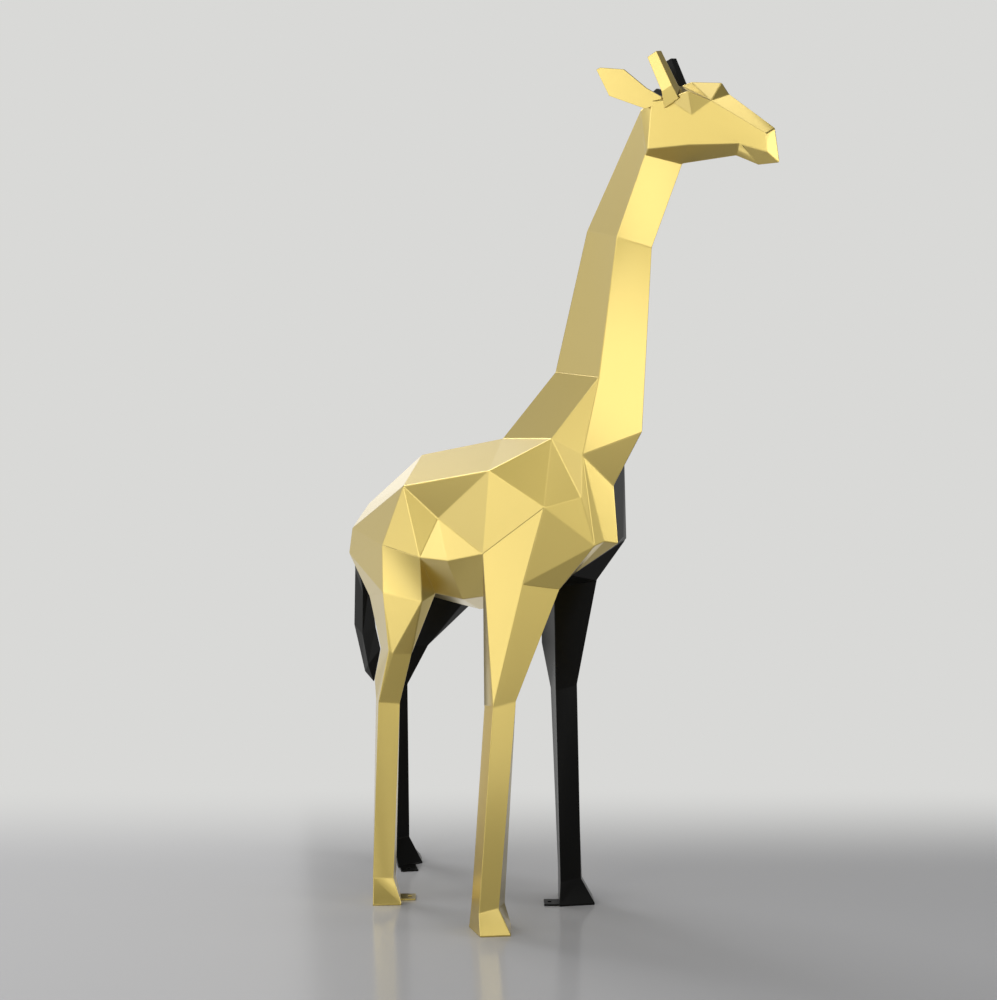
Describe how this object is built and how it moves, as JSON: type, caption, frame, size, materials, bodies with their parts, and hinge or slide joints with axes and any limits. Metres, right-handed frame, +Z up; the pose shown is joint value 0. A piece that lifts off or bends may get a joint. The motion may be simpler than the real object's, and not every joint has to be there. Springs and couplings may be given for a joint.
{
  "type": "giraffe floor sculpture",
  "caption": "Faceted standing giraffe figure, folded sheet-metal skin over a tube armature, one half gold and one half black, with bolt-down lugs at its feet.",
  "frame": {"origin": "on the floor, on the plane where the right and left halves meet, near the middle of the overall length (level with the front knees)", "axes": "+X the way the giraffe looks, +Y its left (black) side, +Z up"},
  "size_m": [1.125, 0.37, 1.803],
  "materials": {
    "gold_paint": "satin gold metallic paint",
    "black_paint": "satin black paint",
    "frame_steel": "primed mild steel, hidden inside the skin"
  },
  "bodies": {
    "root": {"head_shell_right": "gold_paint", "head_shell_left": "black_paint", "neck_shell_right": "gold_paint", "neck_shell_left": "black_paint", "torso_shell_right": "gold_paint", "torso_shell_left": "black_paint", "front_leg_shell_right": "gold_paint", "front_leg_shell_left": "black_paint", "hind_leg_shell_right": "gold_paint", "hind_leg_shell_left": "black_paint", "horn_right": "gold_paint", "horn_left": "black_paint", "ear_right": "gold_paint", "ear_left": "black_paint", "tail": "black_paint", "floor_plate_front_right": "gold_paint", "floor_plate_front_left": "black_paint", "floor_plate_hind_right": "gold_paint", "floor_plate_hind_left": "black_paint", "spine_beam": "frame_steel", "neck_post": "frame_steel", "shoulder_crossbar": "frame_steel", "hip_crossbar": "frame_steel", "leg_post_front_right": "frame_steel", "leg_post_front_left": "frame_steel", "leg_post_hind_right": "frame_steel", "leg_post_hind_left": "frame_steel"}
  },
  "joints": []
}
